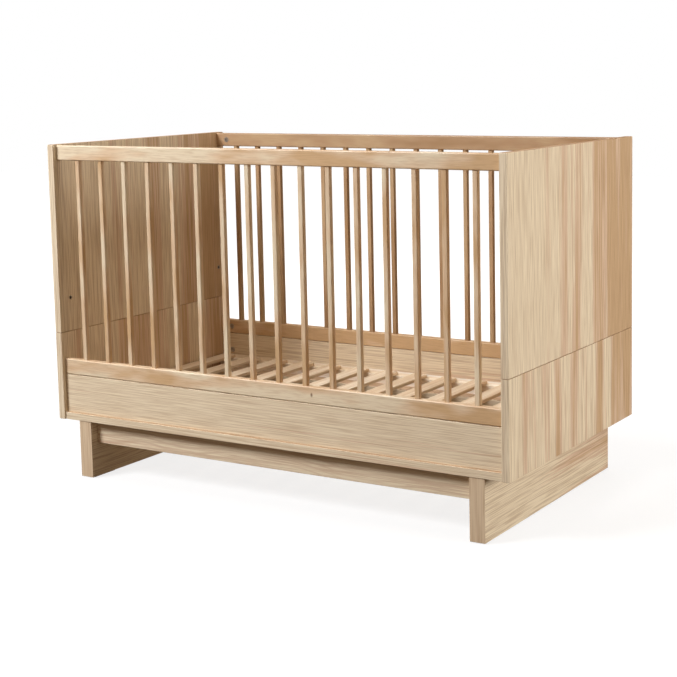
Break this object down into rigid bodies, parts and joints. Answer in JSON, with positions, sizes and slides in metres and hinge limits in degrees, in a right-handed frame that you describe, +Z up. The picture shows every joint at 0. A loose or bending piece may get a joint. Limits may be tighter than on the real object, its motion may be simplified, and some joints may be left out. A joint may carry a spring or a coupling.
{
  "type": "baby crib",
  "caption": "Free-standing baby crib with solid panelled ends, slatted long sides, low feet joined by beams and a slatted mattress base that lifts to a second height.",
  "frame": {"origin": "on the floor, at the middle of the crib's footprint", "axes": "+X along the crib's length, left to right seen from the front; +Y from the front side to the back side; +Z up"},
  "size_m": [1.24, 0.668, 0.818],
  "materials": {
    "oak_laminate_upright": "oak-look laminate on particle board, straight fine grain running up, satin",
    "oak_laminate_lengthwise": "oak-look laminate on particle board, grain running along the crib, satin",
    "beech_rail": "solid light hardwood, clear satin lacquer",
    "beech_slat": "solid light hardwood, clear satin lacquer",
    "pine_bar": "planed pale softwood",
    "birch_slat": "planed birch, unfinished",
    "beech_dowel": "turned beech, unfinished",
    "zinc_cam": "die-cast zinc, bright",
    "steel_bolt": "zinc-plated steel",
    "felt_glide": "pressed brown felt"
  },
  "bodies": {
    "crib_frame": {"left_upper_panel": "oak_laminate_upright", "left_lower_panel": "oak_laminate_upright", "right_upper_panel": "oak_laminate_upright", "right_lower_panel": "oak_laminate_upright", "left_foot": "oak_laminate_upright", "right_foot": "oak_laminate_upright", "front_top_rail": "beech_rail", "front_low_rail": "beech_rail", "back_top_rail": "beech_rail", "back_low_rail": "beech_rail", "front_slat_01": "beech_slat", "front_slat_02": "beech_slat", "front_slat_03": "beech_slat", "front_slat_04": "beech_slat", "front_slat_05": "beech_slat", "front_slat_06": "beech_slat", "front_slat_07": "beech_slat", "front_slat_08": "beech_slat", "front_slat_09": "beech_slat", "front_slat_10": "beech_slat", "front_slat_11": "beech_slat", "front_slat_12": "beech_slat", "front_slat_13": "beech_slat", "front_slat_14": "beech_slat", "front_slat_15": "beech_slat", "front_slat_16": "beech_slat", "back_slat_01": "beech_slat", "back_slat_02": "beech_slat", "back_slat_03": "beech_slat", "back_slat_04": "beech_slat", "back_slat_05": "beech_slat", "back_slat_06": "beech_slat", "back_slat_07": "beech_slat", "back_slat_08": "beech_slat", "back_slat_09": "beech_slat", "back_slat_10": "beech_slat", "back_slat_11": "beech_slat", "back_slat_12": "beech_slat", "back_slat_13": "beech_slat", "back_slat_14": "beech_slat", "back_slat_15": "beech_slat", "back_slat_16": "beech_slat", "front_apron": "oak_laminate_lengthwise", "back_apron": "oak_laminate_lengthwise", "front_ledge": "oak_laminate_lengthwise", "back_ledge": "oak_laminate_lengthwise", "front_beam": "oak_laminate_lengthwise", "back_beam": "oak_laminate_lengthwise", "cam_locks": "zinc_cam", "cam_bolts": "steel_bolt", "wood_dowels": "beech_dowel", "foot_screws": "steel_bolt", "base_sleeves": "zinc_cam", "floor_glides": "felt_glide"},
    "mattress_base": {"front_base_bar": "pine_bar", "back_base_bar": "pine_bar", "base_slats": "birch_slat"}
  },
  "joints": [
    {"name": "base_height", "type": "slide", "parent": "crib_frame", "child": "mattress_base", "axis": [0, 0, 1], "range_m": [0, 0.284]}
  ]
}
